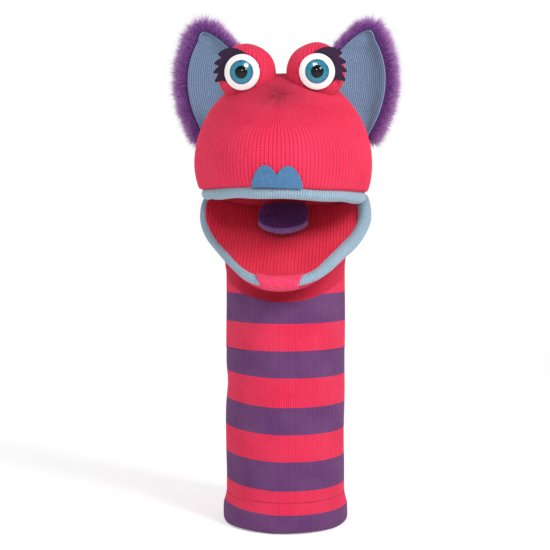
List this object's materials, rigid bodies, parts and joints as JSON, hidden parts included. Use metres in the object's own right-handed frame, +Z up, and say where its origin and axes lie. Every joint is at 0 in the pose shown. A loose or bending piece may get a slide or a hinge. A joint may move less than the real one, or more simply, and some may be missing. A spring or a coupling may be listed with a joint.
{
  "type": "hand puppet",
  "caption": "Knitted sleeve hand puppet with a moving mouth, plush tongue, stuffed eye mounds, plastic eyes and fur-backed ears.",
  "frame": {"origin": "centre of the arm opening, in the plane of the hem's lower edge", "axes": "+Z up the sleeve to the head, -Y the way the face looks, +X to the viewer's right when facing the puppet"},
  "size_m": [0.1802, 0.1501, 0.3902],
  "materials": {
    "striped_knit": "fine stockinette knit in pink and purple bands",
    "purple_knit": "fine stockinette knit, turned in",
    "purple_thread": "sewing thread",
    "pink_knit": "stockinette knit",
    "mouth_knit": "stockinette knit lining",
    "stuffing": "polyester fibre and foam",
    "palate_board": "stiff card-like plastic sheet",
    "lip_rib": "ribbed knit binding",
    "blue_felt": "felt",
    "pink_felt": "felt",
    "elastic": "woven elastic",
    "eye_white": "polished",
    "eye_iris": "polished",
    "eye_pupil": "polished",
    "washer_plastic": "moulded",
    "lash_felt": "felt",
    "tongue_plush": "short plush",
    "tongue_felt": "felt",
    "ear_rib": "ribbed knit",
    "ear_fur": "long pile fur"
  },
  "bodies": {
    "sleeve": {"striped_sleeve": "striped_knit", "hem_cuff": "purple_knit", "hem_thread": "purple_thread"},
    "wrist": {"wrist_knit_lower": "striped_knit"},
    "head": {"wrist_knit_upper": "striped_knit", "head_cover": "pink_knit", "nape_panel": "pink_knit", "head_padding": "stuffing", "upper_palate_board": "palate_board", "upper_mouth_lining": "mouth_knit", "upper_lip_binding": "lip_rib", "upper_lip_felt": "blue_felt", "finger_strap": "elastic", "eye_mound_left": "pink_knit", "eye_mound_right": "pink_knit", "eye_stuffing_left": "stuffing", "eye_stuffing_right": "stuffing", "eye_white_left": "eye_white", "eye_white_right": "eye_white", "eye_iris_left": "eye_iris", "eye_iris_right": "eye_iris", "eye_pupil_left": "eye_pupil", "eye_pupil_right": "eye_pupil", "eye_washer_left": "washer_plastic", "eye_washer_right": "washer_plastic", "lash_left": "lash_felt", "lash_right": "lash_felt", "throat_knit": "pink_knit", "mouth_hinge_tape": "mouth_knit"},
    "jaw": {"jaw_cover": "pink_knit", "jaw_padding": "stuffing", "lower_palate_board": "palate_board", "lower_mouth_lining": "mouth_knit", "lower_lip_binding": "lip_rib", "lower_lip_felt": "pink_felt", "thumb_strap": "elastic"},
    "tongue": {"tongue_plush": "tongue_plush", "tongue_backing": "tongue_felt"},
    "ear_left": {"ear_knit_left": "ear_rib", "ear_wadding_left": "stuffing", "ear_fur_left": "ear_fur"},
    "ear_right": {"ear_knit_right": "ear_rib", "ear_wadding_right": "stuffing", "ear_fur_right": "ear_fur"}
  },
  "joints": [
    {"name": "head_tilt", "type": "hinge", "parent": "sleeve", "child": "wrist", "pos_m": [0, 0, 0.18], "axis": [0, 1, 0], "range_deg": [-18, 18], "deforming": ["wrist_knit_lower"]},
    {"name": "head_nod", "type": "hinge", "parent": "wrist", "child": "head", "pos_m": [0, 0, 0.18], "axis": [1, 0, 0], "range_deg": [-30, 20], "deforming": ["wrist_knit_upper"]},
    {"name": "jaw_open", "type": "hinge", "parent": "head", "child": "jaw", "pos_m": [0, -0.005, 0.247], "axis": [1, 0, 0], "range_deg": [-38, 15], "deforming": ["throat_knit", "mouth_hinge_tape"]},
    {"name": "tongue_lift", "type": "hinge", "parent": "jaw", "child": "tongue", "pos_m": [0, -0.00734, 0.24187], "axis": [1, 0, 0], "range_deg": [-4, 10]},
    {"name": "ear_left_fold", "type": "hinge", "parent": "head", "child": "ear_left", "pos_m": [-0.042, 0.01, 0.3146], "axis": [0.7205, 0, 0.6935], "range_deg": [-25, 20], "stiffness_Nm_per_rad": 0.05},
    {"name": "ear_right_fold", "type": "hinge", "parent": "head", "child": "ear_right", "pos_m": [0.042, 0.01, 0.3146], "axis": [-0.7205, 0, 0.6935], "range_deg": [-20, 25], "stiffness_Nm_per_rad": 0.05}
  ],
  "couplings": [
    {"joint": "tongue_lift", "follows": "jaw_open", "ratio": -0.26}
  ]
}
